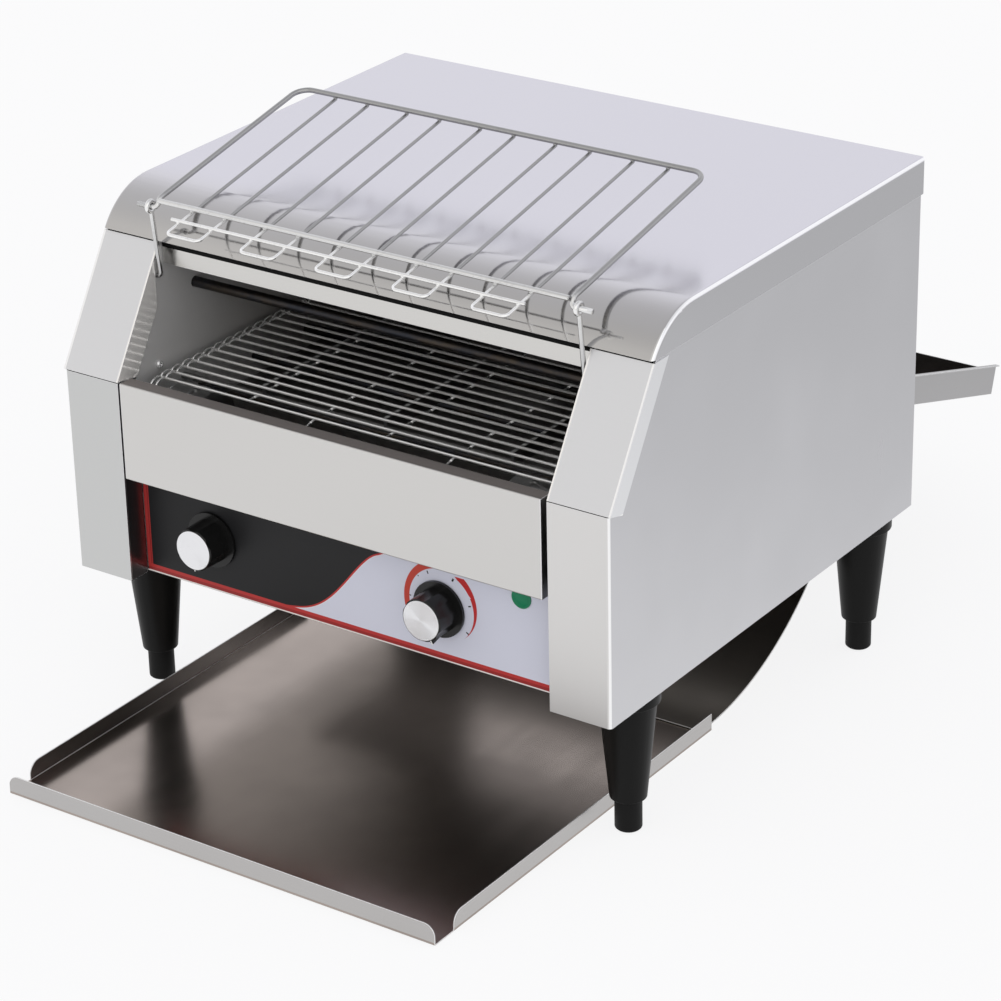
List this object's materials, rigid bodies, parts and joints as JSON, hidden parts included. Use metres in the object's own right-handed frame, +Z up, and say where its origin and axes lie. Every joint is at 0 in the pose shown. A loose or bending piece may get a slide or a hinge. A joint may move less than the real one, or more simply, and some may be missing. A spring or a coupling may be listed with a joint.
{
  "type": "conveyor toaster",
  "caption": "Countertop conveyor toaster with a wire feed rack that folds over, a wire belt through the oven, a front tray on the worktop and a sloping rear tray.",
  "frame": {"origin": "middle of the footprint, on the surface that the feet stand on", "axes": "+X to the right seen from the front, +Y to the back, +Z up"},
  "size_m": [0.477, 0.8112, 0.4369],
  "materials": {
    "casing_steel": "fine brushed, satin",
    "cover_steel": "polished",
    "inner_steel": "mill finish",
    "printed_sheet": "printed film",
    "black_plastic": "satin black",
    "knob_caps": "spun",
    "switch_plastic": "moulded",
    "lamp_green": "clear green lens",
    "heater_tubes": "heat-darkened",
    "belt_wire": "bright wire",
    "rails_and_shafts": "turned",
    "wheel_steel": "machined",
    "bushing_metal": "machined",
    "motor_paint": "black paint",
    "rack_wire": "bright plated",
    "leg_plastic": "moulded black",
    "foot_rubber": "matt",
    "tray_steel": "brushed"
  },
  "bodies": {
    "casing": {"right_side_cover": "casing_steel", "left_side_cover": "casing_steel", "right_pillar_facing": "casing_steel", "left_pillar_facing": "casing_steel", "front_panel": "casing_steel", "rear_panel": "casing_steel", "top_cover": "cover_steel", "hood_strip": "cover_steel", "right_inner_wall": "inner_steel", "left_inner_wall": "inner_steel", "upper_reflector": "inner_steel", "lower_reflector": "inner_steel", "base_plate": "inner_steel", "control_panel": "inner_steel", "compartment_cover": "inner_steel", "panel_overlay": "printed_sheet", "mode_switch": "switch_plastic", "speed_controller": "switch_plastic", "terminal_block": "switch_plastic", "cable_gland": "switch_plastic", "indicator_lamp": "lamp_green", "upper_heaters": "heater_tubes", "lower_heaters": "heater_tubes", "wire_belt": "belt_wire", "belt_rails": "rails_and_shafts", "rear_tray_runners": "rails_and_shafts", "drive_chain": "wheel_steel", "drive_bushings": "bushing_metal", "idler_bushings": "bushing_metal", "gear_motor": "motor_paint", "front_left_leg": "leg_plastic", "front_right_leg": "leg_plastic", "rear_left_leg": "leg_plastic", "rear_right_leg": "leg_plastic", "return_chute": "tray_steel"},
    "rack": {"rack_frame": "rack_wire", "rack_hairpins": "rack_wire", "rack_cross_wires": "rack_wire", "right_rack_arm": "rack_wire", "left_rack_arm": "rack_wire"},
    "front_tray": {"front_tray": "tray_steel"},
    "rear_tray": {"rear_tray": "tray_steel"},
    "mode_knob": {"mode_knob": "black_plastic", "mode_knob_cap": "knob_caps"},
    "speed_knob": {"speed_knob": "black_plastic", "speed_knob_cap": "knob_caps"},
    "drive_roller": {"drive_shaft": "rails_and_shafts", "drive_sprockets": "wheel_steel", "driven_chain_wheel": "wheel_steel"},
    "idler_roller": {"idler_shaft": "rails_and_shafts", "idler_rollers": "rails_and_shafts"},
    "motor_output": {"motor_shaft": "rails_and_shafts", "motor_chain_wheel": "wheel_steel"},
    "front_left_foot": {"front_left_foot": "foot_rubber"},
    "front_right_foot": {"front_right_foot": "foot_rubber"},
    "rear_left_foot": {"rear_left_foot": "foot_rubber"},
    "rear_right_foot": {"rear_right_foot": "foot_rubber"}
  },
  "joints": [
    {"name": "rack_flip", "type": "hinge", "parent": "casing", "child": "rack", "pos_m": [0, -0.20786, 0.338], "axis": [1, 0, 0], "range_deg": [0, 128.2]},
    {"name": "front_tray_slide", "type": "slide", "parent": "casing", "child": "front_tray", "axis": [0, -1, 0], "range_m": [0, 0.25]},
    {"name": "rear_tray_slide", "type": "slide", "parent": "casing", "child": "rear_tray", "axis": [0, 0.9573, -0.289], "range_m": [-0.036, 0]},
    {"name": "mode_knob_turn", "type": "hinge", "parent": "casing", "child": "mode_knob", "pos_m": [-0.1227, -0.25056, 0.1554], "axis": [0, -1, 0], "range_deg": [0, 180]},
    {"name": "speed_knob_turn", "type": "hinge", "parent": "casing", "child": "speed_knob", "pos_m": [0.0818, -0.25056, 0.1543], "axis": [0, -1, 0], "range_deg": [0, 250]},
    {"name": "drive_spin", "type": "hinge", "parent": "casing", "child": "drive_roller", "pos_m": [0, 0.08669, 0.2359], "axis": [1, 0, 0], "continuous": true},
    {"name": "idler_spin", "type": "hinge", "parent": "casing", "child": "idler_roller", "pos_m": [0, -0.21906, 0.2359], "axis": [1, 0, 0], "continuous": true},
    {"name": "motor_spin", "type": "hinge", "parent": "casing", "child": "motor_output", "pos_m": [0.19, -0.13056, 0.157], "axis": [1, 0, 0], "continuous": true},
    {"name": "front_left_foot_turn", "type": "hinge", "parent": "casing", "child": "front_left_foot", "pos_m": [-0.2139, -0.20296, 0.012], "axis": [0, 0, 1], "range_deg": [0, 720]},
    {"name": "front_right_foot_turn", "type": "hinge", "parent": "casing", "child": "front_right_foot", "pos_m": [0.2139, -0.20296, 0.012], "axis": [0, 0, 1], "range_deg": [0, 720]},
    {"name": "rear_left_foot_turn", "type": "hinge", "parent": "casing", "child": "rear_left_foot", "pos_m": [-0.2139, 0.12644, 0.012], "axis": [0, 0, 1], "range_deg": [0, 720]},
    {"name": "rear_right_foot_turn", "type": "hinge", "parent": "casing", "child": "rear_right_foot", "pos_m": [0.2139, 0.12644, 0.012], "axis": [0, 0, 1], "range_deg": [0, 720]}
  ],
  "couplings": [
    {"joint": "idler_spin", "follows": "drive_spin", "ratio": 1},
    {"joint": "motor_spin", "follows": "drive_spin", "ratio": 1.5}
  ]
}
